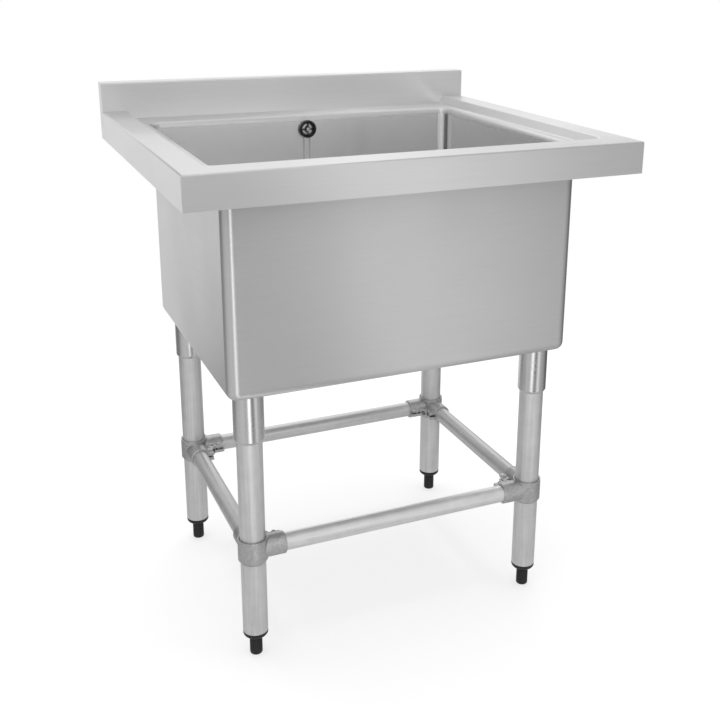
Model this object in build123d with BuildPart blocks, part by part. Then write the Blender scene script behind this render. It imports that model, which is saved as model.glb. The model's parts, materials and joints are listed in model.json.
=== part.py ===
"""Free-standing stainless utility sink: folded worktop, deep bowl, tubular underframe.

Millimetres. +X to the right, -Y to the front, +Z up. The origin is on the floor,
under the middle of the worktop.
"""
import os
from math import atan2, tan
from build123d import *

os.makedirs("parts", exist_ok=True)

# Worktop, folded from one sheet
top_width = 790.0
top_depth = 700.0
rim_height = 900.0
sheet = 1.2
apron_height = 55.0
apron_hem = 14.0
side_border = 45.0
front_border = 54.0
step_run = 12.0
recess_depth = 15.0
recess_corner = 6.0
splash_height = 56.0
splash_depth = 30.0
splash_hem = 18.0
fold_radius = 3.0
cove_radius = 4.0

# Bowl, pressed from the same sheet
bowl_width = 636.0
bowl_depth = 512.0
bowl_centre_y = -12.0
bowl_drop = 395.0
bowl_corner_radius = 18.0
bowl_bottom_radius = 16.0
lip_radius = 10.0
flange_flat = 4.0
floor_fall = 6.0
dish_radius = 62.0
dish_land = 8.0
dish_depth = 5.0
dish_draft = 3.0
waste_hole_clearance = 1.5

# Overflow in the rear wall of the bowl
rose_drop = 43.0
rose_radius = 18.0
rose_projection = 8.0
rose_base = 2.0
rose_rim = 5.0
rose_bevel = 2.0
rose_recess = 1.5
rose_web = 3.0
rose_hub_radius = 5.0
rose_spoke_width = 2.6
rose_spoke_count = 4
overflow_hole_radius = 14.0
spigot_clearance = 0.3
spigot_wall = 1.6
gasket_thickness = 2.0
elbow_flange_radius = 17.8
elbow_flange_thickness = 4.0
elbow_body_radius = 16.0
elbow_wall = 3.0
elbow_reach = 40.0
elbow_bevel = 3.0
elbow_drop = 42.0
overflow_screw_radius = 2.5
overflow_screw_head_radius = 4.0
overflow_screw_head = 2.4
overflow_screw_grip = 12.0

# Overflow pipe from the elbow to the branch of the waste
pipe_radius = 11.0
pipe_wall = 1.5
pipe_bend_radius = 36.0
pipe_socket_wall = 3.0
pipe_socket_depth = 14.0
pipe_nut_wall = 4.5
pipe_nut_overlap = 10.0
pipe_nut_cap = 5.0
pipe_nut_flat_count = 8

# Waste in the middle of the bowl
waste_seal_thickness = 2.0
waste_flange_width = 13.0
waste_flange_thickness = 3.0
waste_flange_bevel = 1.2
waste_neck_radius = 43.0
waste_wall = 3.0
waste_cup_depth = 50.0
lower_seal_width = 10.0
lower_seal_thickness = 3.0
backnut_wall = 11.0
backnut_height = 10.0
backnut_flat_count = 8
outlet_radius = 23.9
outlet_wall = 4.0
outlet_length = 20.0
branch_drop = 35.0
branch_reach = 70.0

# Strainer basket that lifts out of the waste
basket_clearance = 1.5
basket_rim_width = 3.5
basket_rim_drop = 2.0
basket_draft = 4.0
basket_wall = 1.2
basket_lift = 4.0
basket_slot_count = 8
basket_slot_width = 4.0
basket_slot_start = 10.0
basket_slot_margin = 3.0
strainer_seal_lap = 7.0
strainer_seal_thickness = 4.0
strainer_stem_radius = 4.0
knob_radius = 10.0
knob_height = 9.0
knob_bevel = 2.5
knob_rise = 4.0

# Legs and the sockets that hold them under the bowl
leg_radius = 22.25
leg_wall = 1.6
leg_inset = 43.0
tube_deburr = 0.6
socket_clearance = 0.2
socket_wall = 3.8
socket_crown = 8.0
socket_engage = 80.0
socket_chamfer = 5.0
socket_chamfer_width = 3.0
socket_screw_radius = 4.0
socket_screw_rise = 26.0
socket_screw_stand = 2.5

# Underframe rails and the cast corner clamps that join them to the legs
rail_height = 210.0
rail_radius = 15.9
rail_wall = 1.5
clamp_clearance = 0.1
clamp_wall = 3.9
clamp_half_height = 22.5
clamp_chamfer = 5.0
clamp_chamfer_width = 3.4
clamp_lead_in = 1.8
clamp_arm_wall = 3.85
clamp_mouth_chamfer = 1.2
clamp_shoulder = 28.0
clamp_reach = 57.0
slot_height = 4.5
lip_height = 6.0
lip_projection = 8.0
lip_length = 24.0
lip_screw_radius = 2.5
lip_screw_head_radius = 4.0
lip_screw_head = 3.0
boss_radius = 9.0
boss_reach = 47.0
boss_screw_radius = 5.0
boss_screw_sink = 8.0

# Adjustable feet in the lower leg ends
foot_gap = 48.0
insert_lip = 2.0
insert_cone_height = 12.0
insert_lower_radius = 13.0
insert_plug = 40.0
stem_radius = 11.3
stem_clearance = 0.06
stem_engage = 40.0
foot_nose_width = 4.5
foot_nose_height = 5.5

# Levels and edges that follow from the sizes above
half_width = top_width / 2
half_depth = top_depth / 2
splash_face_y = half_depth - splash_depth
splash_top_z = rim_height + splash_height
apron_bottom_z = rim_height - apron_height
deck_z = rim_height - recess_depth
recess_front_y = -half_depth + front_border
border_edge_x = half_width - side_border
fold_step = tan(atan2(recess_depth, step_run) / 2)
bowl_bottom_z = rim_height - bowl_drop
bowl_front_y = bowl_centre_y - bowl_depth / 2
bowl_back_y = bowl_centre_y + bowl_depth / 2
opening_margin = lip_radius + flange_flat - sheet
dish_floor_z = bowl_bottom_z - floor_fall - dish_depth + sheet
leg_x = bowl_width / 2 - leg_inset
leg_front_y = bowl_front_y + leg_inset
leg_back_y = bowl_back_y - leg_inset
leg_top_z = bowl_bottom_z - socket_crown
corners = {
    "front_left": (-1, -1, leg_front_y),
    "front_right": (1, -1, leg_front_y),
    "rear_left": (-1, 1, leg_back_y),
    "rear_right": (1, 1, leg_back_y),
}


def on_level(value, axis, tolerance=0.01):
    """Choose edges or faces whose centre lies on one level of an axis."""
    return lambda shape: abs(getattr(shape.center(), axis) - value) < tolerance


def side_plane(x, y, z=0.0):
    """An upright plane seen from the front, with its own x to the right and y up."""
    return Plane(origin=(x, y, z), x_dir=(1, 0, 0), z_dir=(0, -1, 0))


def worktop_form(inset):
    """The worktop as a block, drawn in by an inset from the sheet's outer skin."""
    with BuildPart() as form:
        with BuildSketch(Plane.YZ.offset(inset - half_width)):
            with BuildLine():
                Polyline(
                    (inset - half_depth, apron_bottom_z),
                    (inset - half_depth, rim_height - inset),
                    (splash_face_y + inset, rim_height - inset),
                    (splash_face_y + inset, splash_top_z - inset),
                    (half_depth, splash_top_z - inset),
                    (half_depth, apron_bottom_z),
                    close=True,
                )
            make_face()
        extrude(amount=top_width - 2 * inset)
        # The recess slopes down from the raised border on three sides
        grow = inset * fold_step
        for level, run in ((rim_height, 0.0), (deck_z, step_run)):
            with BuildSketch(Plane.XY.offset(level - inset)):
                front = recess_front_y + run - grow
                length = splash_face_y + inset - front
                with Locations((0, front + length / 2)):
                    Rectangle(2 * (border_edge_x - run + grow), length)
                corner = recess_corner + step_run - run + grow
                fillet(vertices().group_by(Axis.Y)[0], radius=corner)
        loft(ruled=True, mode=Mode.SUBTRACT)
        # Outer folds: front and side edges, and the top edge of the splashback
        top_edges = form.edges().filter_by(on_level(rim_height - inset, "Z"))
        outer = top_edges.filter_by(
            lambda e: e.center().Y < recess_front_y - front_border / 2
            or abs(e.center().X) > border_edge_x + side_border / 2
        )
        splash_edges = form.edges().filter_by(on_level(splash_top_z - inset, "Z"))
        fillet(
            outer + splash_edges.filter_by(on_level(splash_face_y + inset, "Y")),
            radius=fold_radius - inset,
        )
        # Inner folds: the border drops to the slope, and the slope meets the deck
        inner = form.edges().filter_by(
            lambda e: abs(e.center().X) < border_edge_x + side_border / 2
            and recess_front_y - front_border / 2 < e.center().Y < splash_face_y - cove_radius
        )
        fillet(inner.filter_by(on_level(rim_height - inset, "Z")), radius=fold_radius - inset)
        deck_folds = form.edges().filter_by(on_level(deck_z - inset, "Z"))
        deck_folds = deck_folds.filter_by(lambda e: e.center().Y < splash_face_y - cove_radius)
        fillet(deck_folds, radius=cove_radius + inset)
    return form.part


def bowl_form(inset):
    """The bowl as a solid mass, drawn in by an inset from its outer skin."""
    with BuildPart() as form:
        with BuildSketch(Plane.XY.offset(bowl_bottom_z + inset)):
            with Locations((0, bowl_centre_y)):
                RectangleRounded(
                    bowl_width - 2 * inset, bowl_depth - 2 * inset, bowl_corner_radius - inset
                )
        extrude(amount=deck_z - bowl_bottom_z - inset)
        # The floor falls from all four walls to the land around the dish
        land = 2 * (dish_radius + dish_land)
        with BuildSketch(Plane.XY.offset(bowl_bottom_z + inset)):
            with Locations((0, bowl_centre_y)):
                RectangleRounded(
                    bowl_width - 2 * inset, bowl_depth - 2 * inset, bowl_corner_radius - inset
                )
        with BuildSketch(Plane.XY.offset(bowl_bottom_z + inset - floor_fall)):
            with Locations((0, bowl_centre_y)):
                RectangleRounded(land, land, bowl_corner_radius - inset)
        loft(ruled=True)
        bottom = form.edges().filter_by(on_level(bowl_bottom_z + inset, "Z"))
        fillet(bottom, radius=bowl_bottom_radius - inset)
        # The round dish that takes the waste flange
        with BuildSketch(Plane.XY.offset(bowl_bottom_z + inset - floor_fall)):
            with Locations((0, bowl_centre_y)):
                Circle(dish_radius - inset)
        with BuildSketch(Plane.XY.offset(bowl_bottom_z + inset - floor_fall - dish_depth)):
            with Locations((0, bowl_centre_y)):
                Circle(dish_radius - dish_draft - inset)
        loft()
    return form.part


with BuildPart() as worktop:
    add(worktop_form(0.0))
    add(worktop_form(sheet), mode=Mode.SUBTRACT)
    # Hem along the lower edge of the apron
    with BuildSketch(Plane.XY.offset(apron_bottom_z)):
        Rectangle(top_width, top_depth)
        with Locations((0, apron_hem / 2)):
            Rectangle(top_width - 2 * apron_hem, top_depth - apron_hem, mode=Mode.SUBTRACT)
    extrude(amount=sheet)
    # Down-turned hem along the back of the splashback
    with BuildSketch(Plane.XZ.offset(-half_depth)):
        with Locations((0, splash_top_z - splash_hem / 2)):
            Rectangle(top_width, splash_hem)
    extrude(amount=sheet)
    # Opening that the bowl flange is welded into
    with BuildSketch(Plane.XY.offset(deck_z)):
        with Locations((0, bowl_centre_y)):
            RectangleRounded(
                bowl_width + 2 * opening_margin,
                bowl_depth + 2 * opening_margin,
                bowl_corner_radius + opening_margin,
            )
    extrude(amount=2 * sheet, both=True, mode=Mode.SUBTRACT)
worktop.part.label = "worktop"
export_step(worktop.part, "parts/worktop.step")

rose_z = rim_height - rose_drop
bowl_inner_y = bowl_back_y - sheet
waste_hole_radius = waste_neck_radius + waste_hole_clearance
with BuildPart() as bowl:
    add(bowl_form(0.0))
    # Flange at deck level, turned out from the walls with a rolled lip
    with BuildSketch(Plane.XY.offset(deck_z - sheet)):
        with Locations((0, bowl_centre_y)):
            RectangleRounded(
                bowl_width + 2 * opening_margin,
                bowl_depth + 2 * opening_margin,
                bowl_corner_radius + opening_margin,
            )
    extrude(amount=sheet)
    under_lip = bowl.edges().filter_by(on_level(deck_z - sheet, "Z")).filter_by(
        lambda e: abs(e.center().X) < bowl_width / 2 + sheet
        and abs(e.center().Y - bowl_centre_y) < bowl_depth / 2 + sheet
    )
    fillet(under_lip, radius=lip_radius - sheet)
    add(bowl_form(sheet), mode=Mode.SUBTRACT)
    lip = bowl.edges().filter_by(on_level(deck_z, "Z")).filter_by(
        lambda e: abs(e.center().X) < bowl_width / 2
        and abs(e.center().Y - bowl_centre_y) < bowl_depth / 2
    )
    fillet(lip, radius=lip_radius)
    with BuildSketch(Plane.XY.offset(dish_floor_z)):
        with Locations((0, bowl_centre_y)):
            Circle(waste_hole_radius)
    extrude(amount=2 * sheet, both=True, mode=Mode.SUBTRACT)
    with BuildSketch(side_plane(0, bowl_back_y, rose_z)):
        Circle(overflow_hole_radius)
    extrude(amount=2 * sheet, both=True, mode=Mode.SUBTRACT)
bowl.part.label = "bowl"
export_step(bowl.part, "parts/bowl.step")

# Overflow rose: a rim with spokes and a hub, and a spigot through the wall
spigot_radius = overflow_hole_radius - spigot_clearance
elbow_face_y = bowl_back_y + gasket_thickness
with BuildPart() as overflow_rose:
    with BuildSketch(side_plane(0, bowl_inner_y, rose_z)):
        Circle(rose_radius)
        Circle(rose_radius - rose_rim, mode=Mode.SUBTRACT)
    extrude(amount=rose_projection)
    front_edges = overflow_rose.edges().group_by(Axis.Y)[0].sort_by(SortBy.RADIUS)
    chamfer(front_edges[-1], length=rose_bevel)
    with BuildSketch(side_plane(0, bowl_inner_y, rose_z)):
        Circle(rose_radius)
        Circle(spigot_radius - spigot_wall, mode=Mode.SUBTRACT)
    extrude(amount=rose_base)
    with BuildSketch(side_plane(0, bowl_inner_y, rose_z)):
        Circle(spigot_radius)
        Circle(spigot_radius - spigot_wall, mode=Mode.SUBTRACT)
    extrude(amount=-(elbow_face_y + elbow_flange_thickness - bowl_inner_y))
    web_y = bowl_inner_y - rose_projection + rose_recess
    with BuildSketch(side_plane(0, web_y, rose_z)):
        with PolarLocations((rose_radius - rose_rim) / 2, rose_spoke_count):
            Rectangle(rose_radius - rose_rim + rose_spoke_width / 2, rose_spoke_width)
    extrude(amount=-rose_web)
    with BuildSketch(side_plane(0, web_y, rose_z)):
        Circle(rose_hub_radius)
    extrude(amount=-(elbow_face_y - web_y))
    with BuildSketch(side_plane(0, web_y, rose_z)):
        Circle(overflow_screw_radius)
    extrude(amount=-(elbow_face_y - web_y), mode=Mode.SUBTRACT)
overflow_rose.part.label = "overflow_rose"
export_step(overflow_rose.part, "parts/overflow_rose.step")

with BuildPart() as overflow_screw:
    with BuildSketch(side_plane(0, web_y, rose_z)):
        Circle(overflow_screw_head_radius)
    extrude(amount=overflow_screw_head)
    chamfer(overflow_screw.edges().group_by(Axis.Y)[0], length=overflow_screw_head / 3)
    with BuildSketch(side_plane(0, web_y, rose_z)):
        Circle(overflow_screw_radius)
    extrude(amount=-(elbow_face_y - web_y + overflow_screw_grip))
overflow_screw.part.label = "overflow_screw"
export_step(overflow_screw.part, "parts/overflow_screw.step")

with BuildPart() as overflow_gasket:
    with BuildSketch(side_plane(0, bowl_back_y, rose_z)):
        Circle(elbow_flange_radius)
        Circle(overflow_hole_radius, mode=Mode.SUBTRACT)
    extrude(amount=-gasket_thickness)
overflow_gasket.part.label = "overflow_gasket"
export_step(overflow_gasket.part, "parts/overflow_gasket.step")

# Overflow elbow: flange, closed body, post for the screw and outlet socket below
socket_radius = pipe_radius + pipe_socket_wall
pipe_y = elbow_face_y + elbow_reach - elbow_wall - elbow_bevel - socket_radius
elbow_end_z = rose_z - elbow_drop
with BuildPart() as overflow_elbow:
    with BuildSketch(side_plane(0, elbow_face_y, rose_z)):
        Circle(elbow_body_radius)
    extrude(amount=-elbow_reach)
    chamfer(overflow_elbow.edges().group_by(Axis.Y)[-1], length=elbow_bevel)
    with BuildSketch(side_plane(0, elbow_face_y, rose_z)):
        Circle(elbow_flange_radius)
    extrude(amount=-elbow_flange_thickness)
    with BuildSketch(Plane.XY.offset(elbow_end_z)):
        with Locations((0, pipe_y)):
            Circle(socket_radius)
    extrude(amount=elbow_drop)
    with BuildSketch(side_plane(0, elbow_face_y, rose_z)):
        Circle(overflow_hole_radius)
        Circle(rose_hub_radius, mode=Mode.SUBTRACT)
    extrude(amount=elbow_wall - elbow_reach, mode=Mode.SUBTRACT)
    with BuildSketch(Plane.XY.offset(elbow_end_z)):
        with Locations((0, pipe_y)):
            Circle(pipe_radius)
    extrude(amount=pipe_socket_depth, mode=Mode.SUBTRACT)
    with BuildSketch(Plane.XY.offset(elbow_end_z)):
        with Locations((0, pipe_y)):
            Circle(pipe_radius - pipe_wall)
    extrude(amount=elbow_drop - rose_hub_radius, mode=Mode.SUBTRACT)
    with BuildSketch(side_plane(0, elbow_face_y, rose_z)):
        Circle(overflow_screw_radius)
    extrude(amount=-overflow_screw_grip, mode=Mode.SUBTRACT)
overflow_elbow.part.label = "overflow_elbow"
export_step(overflow_elbow.part, "parts/overflow_elbow.step")

# Waste body: flange in the dish, cup, threaded outlet and a branch for the overflow
waste_flange_z = dish_floor_z + waste_seal_thickness
waste_top_z = waste_flange_z + waste_flange_thickness
cup_bottom_z = waste_top_z - waste_cup_depth
cup_radius = waste_neck_radius - waste_wall
outlet_bore_radius = outlet_radius - outlet_wall
branch_z = waste_top_z - branch_drop
branch_end_y = bowl_centre_y + branch_reach
with BuildPart() as waste_body:
    with BuildSketch(Plane.XY.offset(waste_flange_z)):
        with Locations((0, bowl_centre_y)):
            Circle(waste_neck_radius + waste_flange_width)
    extrude(amount=waste_flange_thickness)
    chamfer(waste_body.edges().group_by(Axis.Z)[-1], length=waste_flange_bevel)
    with BuildSketch(Plane.XY.offset(cup_bottom_z)):
        with Locations((0, bowl_centre_y)):
            Circle(waste_neck_radius)
    extrude(amount=waste_flange_z - cup_bottom_z)
    with BuildSketch(Plane.XY.offset(cup_bottom_z)):
        with Locations((0, bowl_centre_y)):
            Circle(outlet_radius)
    extrude(amount=-outlet_length)
    with BuildSketch(side_plane(0, bowl_centre_y, branch_z)):
        Circle(socket_radius)
    extrude(amount=-branch_reach)
    with BuildSketch(Plane.XY.offset(cup_bottom_z + waste_wall)):
        with Locations((0, bowl_centre_y)):
            Circle(cup_radius)
    extrude(amount=waste_cup_depth, mode=Mode.SUBTRACT)
    with BuildSketch(Plane.XY.offset(cup_bottom_z - outlet_length)):
        with Locations((0, bowl_centre_y)):
            Circle(outlet_bore_radius)
    extrude(amount=outlet_length + waste_wall, mode=Mode.SUBTRACT)
    with BuildSketch(side_plane(0, bowl_centre_y, branch_z)):
        Circle(pipe_radius - pipe_wall)
    extrude(amount=-branch_reach, mode=Mode.SUBTRACT)
    with BuildSketch(side_plane(0, branch_end_y, branch_z)):
        Circle(pipe_radius)
    extrude(amount=pipe_socket_depth, mode=Mode.SUBTRACT)
waste_body.part.label = "waste_body"
export_step(waste_body.part, "parts/waste_body.step")

with BuildPart() as waste_upper_seal:
    with BuildSketch(Plane.XY.offset(dish_floor_z)):
        with Locations((0, bowl_centre_y)):
            Circle(waste_neck_radius + waste_flange_width)
            Circle(waste_neck_radius, mode=Mode.SUBTRACT)
    extrude(amount=waste_seal_thickness)
waste_upper_seal.part.label = "waste_upper_seal"
export_step(waste_upper_seal.part, "parts/waste_upper_seal.step")

with BuildPart() as waste_lower_seal:
    with BuildSketch(Plane.XY.offset(dish_floor_z - sheet)):
        with Locations((0, bowl_centre_y)):
            Circle(waste_neck_radius + lower_seal_width)
            Circle(waste_neck_radius, mode=Mode.SUBTRACT)
    extrude(amount=-lower_seal_thickness)
waste_lower_seal.part.label = "waste_lower_seal"
export_step(waste_lower_seal.part, "parts/waste_lower_seal.step")

with BuildPart() as waste_backnut:
    with BuildSketch(Plane.XY.offset(dish_floor_z - sheet - lower_seal_thickness)):
        with Locations((0, bowl_centre_y)):
            RegularPolygon(waste_neck_radius + backnut_wall, backnut_flat_count, major_radius=False)
            Circle(waste_neck_radius, mode=Mode.SUBTRACT)
    extrude(amount=-backnut_height)
waste_backnut.part.label = "waste_backnut"
export_step(waste_backnut.part, "parts/waste_backnut.step")

# Overflow pipe, down behind the rear wall and forward to the waste
with BuildPart() as overflow_pipe:
    pipe_top = (0, pipe_y, elbow_end_z + pipe_socket_depth)
    with BuildLine():
        FilletPolyline(
            pipe_top,
            (0, pipe_y, branch_z),
            (0, branch_end_y - pipe_socket_depth, branch_z),
            radius=pipe_bend_radius,
        )
    with BuildSketch(Plane(origin=pipe_top, x_dir=(1, 0, 0), z_dir=(0, 0, -1))):
        Circle(pipe_radius)
        Circle(pipe_radius - pipe_wall, mode=Mode.SUBTRACT)
    sweep()
overflow_pipe.part.label = "overflow_pipe"
export_step(overflow_pipe.part, "parts/overflow_pipe.step")

nut_planes = (
    Plane(origin=(0, pipe_y, elbow_end_z), x_dir=(1, 0, 0), z_dir=(0, 0, -1)),
    Plane(origin=(0, branch_end_y, branch_z), x_dir=(1, 0, 0), z_dir=(0, 1, 0)),
)
with BuildPart() as overflow_nuts:
    for nut_plane in nut_planes:
        with BuildSketch(nut_plane.offset(-pipe_nut_overlap)):
            RegularPolygon(socket_radius + pipe_nut_wall, pipe_nut_flat_count, major_radius=False)
            Circle(socket_radius, mode=Mode.SUBTRACT)
        extrude(amount=pipe_nut_overlap)
        with BuildSketch(nut_plane):
            RegularPolygon(socket_radius + pipe_nut_wall, pipe_nut_flat_count, major_radius=False)
            Circle(pipe_radius, mode=Mode.SUBTRACT)
        extrude(amount=pipe_nut_cap)
overflow_nuts.part.label = "overflow_nuts"
export_step(overflow_nuts.part, "parts/overflow_nuts.step")

# Strainer basket, its seal on the cup floor and its lifting knob
seal_z = cup_bottom_z + waste_wall
basket_bottom_z = seal_z + strainer_seal_thickness + basket_lift
basket_top_z = waste_top_z - basket_rim_drop
basket_rim_radius = cup_radius - basket_clearance
basket_radius = basket_rim_radius - basket_rim_width
waste_axis = Axis((0, bowl_centre_y, 0), (0, 0, 1))
with BuildPart() as strainer_basket:
    with BuildSketch(side_plane(0, bowl_centre_y)):
        with BuildLine():
            Polyline(
                (strainer_stem_radius, basket_bottom_z),
                (basket_radius - basket_draft, basket_bottom_z),
                (basket_radius, basket_top_z - basket_wall),
                (basket_rim_radius, basket_top_z - basket_wall),
                (basket_rim_radius, basket_top_z),
                (basket_radius - basket_wall, basket_top_z),
                (basket_radius - basket_draft - basket_wall, basket_bottom_z + basket_wall),
                (strainer_stem_radius, basket_bottom_z + basket_wall),
                close=True,
            )
        make_face()
    revolve(axis=waste_axis)
    slot_length = basket_radius - basket_draft - basket_slot_start - basket_slot_margin
    with BuildSketch(Plane.XY.offset(basket_bottom_z)):
        with Locations((0, bowl_centre_y)):
            with PolarLocations(basket_slot_start + slot_length / 2, basket_slot_count):
                Rectangle(slot_length, basket_slot_width)
    extrude(amount=basket_wall, mode=Mode.SUBTRACT)
strainer_basket.part.label = "strainer_basket"
export_step(strainer_basket.part, "parts/strainer_basket.step")

with BuildPart() as strainer_seal:
    with BuildSketch(Plane.XY.offset(seal_z)):
        with Locations((0, bowl_centre_y)):
            Circle(outlet_bore_radius + strainer_seal_lap)
    extrude(amount=strainer_seal_thickness)
    chamfer(strainer_seal.edges().group_by(Axis.Z)[-1], length=strainer_seal_thickness / 3)
strainer_seal.part.label = "strainer_seal"
export_step(strainer_seal.part, "parts/strainer_seal.step")

with BuildPart() as strainer_knob:
    knob_base_z = waste_top_z + knob_rise - knob_height
    with BuildSketch(Plane.XY.offset(knob_base_z)):
        with Locations((0, bowl_centre_y)):
            Circle(knob_radius)
    extrude(amount=knob_height)
    chamfer(strainer_knob.edges().filter_by(GeomType.CIRCLE), length=knob_bevel)
    with BuildSketch(Plane.XY.offset(seal_z + strainer_seal_thickness)):
        with Locations((0, bowl_centre_y)):
            Circle(strainer_stem_radius)
    extrude(amount=knob_base_z - seal_z - strainer_seal_thickness + knob_height / 2)
strainer_knob.part.label = "strainer_knob"
export_step(strainer_knob.part, "parts/strainer_knob.step")

# Each corner: a socket welded under the bowl, and a leg that stands up into it
socket_bottom_z = leg_top_z - socket_engage
socket_bore = leg_radius + socket_clearance
socket_outer = socket_bore + socket_wall
socket_screw_z = socket_bottom_z + socket_screw_rise
bowl_mass = bowl_form(0.0)
for corner, (side, end, leg_y) in corners.items():
    leg_axis = Axis((side * leg_x, leg_y, 0), (0, 0, 1))
    with BuildPart() as leg_socket:
        with BuildSketch(side_plane(side * leg_x, leg_y)):
            with BuildLine():
                Polyline(
                    (socket_bore, socket_bottom_z),
                    (socket_outer - socket_chamfer_width, socket_bottom_z),
                    (socket_outer, socket_bottom_z + socket_chamfer),
                    (socket_outer, bowl_bottom_z),
                    (0, bowl_bottom_z),
                    (0, leg_top_z),
                    (socket_bore, leg_top_z),
                    close=True,
                )
            make_face()
        revolve(axis=leg_axis)
        add(bowl_mass, mode=Mode.SUBTRACT)
        with BuildSketch(side_plane(side * leg_x, leg_y, socket_screw_z)):
            Circle(socket_screw_radius)
        extrude(amount=-2 * socket_outer, mode=Mode.SUBTRACT)
    leg_socket.part.label = f"leg_socket_{corner}"
    export_step(leg_socket.part, f"parts/leg_socket_{corner}.step")

    with BuildPart() as leg:
        with BuildSketch(Plane.XY.offset(foot_gap)):
            with Locations((side * leg_x, leg_y)):
                Circle(leg_radius)
                Circle(leg_radius - leg_wall, mode=Mode.SUBTRACT)
        extrude(amount=leg_top_z - foot_gap)
        chamfer(leg.edges().group_by(Axis.Z)[0].sort_by(SortBy.RADIUS)[-1], length=tube_deburr)
    leg.part.label = f"leg_{corner}"
    export_step(leg.part, f"parts/leg_{corner}.step")

# Grub screws through the sockets, one on the far side of each, bearing on the leg
with BuildPart() as socket_screws:
    for side, end, leg_y in corners.values():
        screw_face = side_plane(side * leg_x, leg_y + leg_radius, socket_screw_z)
        screw_length = socket_outer - leg_radius + socket_screw_stand
        with BuildSketch(screw_face):
            Circle(socket_screw_radius)
        extrude(amount=-screw_length)
socket_screws.part.label = "socket_screws"
export_step(socket_screws.part, "parts/socket_screws.step")

# Cast corner clamps: a collar on the leg with two slotted arms for the rails
clamp_bore = leg_radius + clamp_clearance
clamp_outer = clamp_bore + clamp_wall
arm_bore = rail_radius + clamp_clearance
arm_outer = arm_bore + clamp_arm_wall
lip_reach = arm_outer + lip_projection
lip_screw_out = arm_outer + lip_projection / 2
for corner, (side, end, leg_y) in corners.items():
    leg_axis = Axis((side * leg_x, leg_y, 0), (0, 0, 1))
    centre = Vector(side * leg_x, leg_y, rail_height)
    across = Vector(-side, 0, 0)
    along = Vector(0, -end, 0)
    inward = (across + along).normalized()
    with BuildPart() as corner_clamp:
        with BuildSketch(side_plane(side * leg_x, leg_y, rail_height)):
            with BuildLine():
                Polyline(
                    (0, -clamp_half_height),
                    (clamp_outer - clamp_chamfer_width, -clamp_half_height),
                    (clamp_outer, clamp_chamfer - clamp_half_height),
                    (clamp_outer, clamp_half_height),
                    (0, clamp_half_height),
                    close=True,
                )
            make_face()
        revolve(axis=leg_axis)
        for arm, beside in ((across, along), (along, across)):
            with BuildSketch(Plane(origin=centre, z_dir=arm)):
                Circle(arm_outer)
            extrude(amount=clamp_reach)
            tip = centre + arm * clamp_reach
            mouth = corner_clamp.edges().filter_by(GeomType.CIRCLE).filter_by(
                lambda e: (e.arc_center - tip).length < clamp_mouth_chamfer
            )
            chamfer(mouth, length=clamp_mouth_chamfer)
            # Two lips beside the slot
            with BuildSketch(Plane(origin=tip, x_dir=beside, z_dir=-arm)):
                with Locations((lip_reach / 2, 0)):
                    Rectangle(lip_reach, slot_height + 2 * lip_height)
            extrude(amount=lip_length)
        # Boss in the inner corner for the screw that grips the leg
        with BuildSketch(Plane(origin=centre, z_dir=inward)):
            Circle(boss_radius)
        extrude(amount=boss_reach)
        # Bores for the leg and the rails, slots, and screw holes
        with BuildSketch(Plane.XY.offset(rail_height - clamp_half_height)):
            with Locations((side * leg_x, leg_y)):
                Circle(clamp_bore)
        extrude(amount=2 * clamp_half_height, mode=Mode.SUBTRACT)
        top_bore = corner_clamp.edges().filter_by(on_level(rail_height + clamp_half_height, "Z"))
        chamfer(top_bore.sort_by(SortBy.RADIUS)[0], length=clamp_lead_in)
        for arm, beside in ((across, along), (along, across)):
            shoulder = centre + arm * clamp_shoulder
            with BuildSketch(Plane(origin=shoulder, z_dir=arm)):
                Circle(arm_bore)
            extrude(amount=clamp_reach - clamp_shoulder, mode=Mode.SUBTRACT)
            with BuildSketch(Plane(origin=shoulder, x_dir=beside, z_dir=arm)):
                with Locations((lip_reach / 2, 0)):
                    Rectangle(lip_reach, slot_height)
            extrude(amount=clamp_reach - clamp_shoulder, mode=Mode.SUBTRACT)
            screw_spot = centre + arm * (clamp_reach - lip_length / 2) + beside * lip_screw_out
            with BuildSketch(Plane(origin=screw_spot, z_dir=(0, 0, 1))):
                Circle(lip_screw_radius)
            extrude(amount=slot_height / 2 + lip_height, both=True, mode=Mode.SUBTRACT)
        with BuildSketch(Plane(origin=centre, z_dir=inward)):
            Circle(boss_screw_radius)
        extrude(amount=boss_reach, mode=Mode.SUBTRACT)
    corner_clamp.part.label = f"corner_clamp_{corner}"
    export_step(corner_clamp.part, f"parts/corner_clamp_{corner}.step")

# Screws of the clamps: one in each corner boss, and one across each pair of lips
with BuildPart() as clamp_leg_screws:
    for side, end, leg_y in corners.values():
        inward = Vector(-side, -end, 0).normalized()
        foot = Vector(side * leg_x, leg_y, rail_height) + inward * leg_radius
        screw_length = boss_reach - boss_screw_sink - leg_radius
        with BuildSketch(Plane(origin=foot, z_dir=inward)):
            Circle(boss_screw_radius)
        extrude(amount=screw_length)
clamp_leg_screws.part.label = "clamp_leg_screws"
export_step(clamp_leg_screws.part, "parts/clamp_leg_screws.step")

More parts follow.
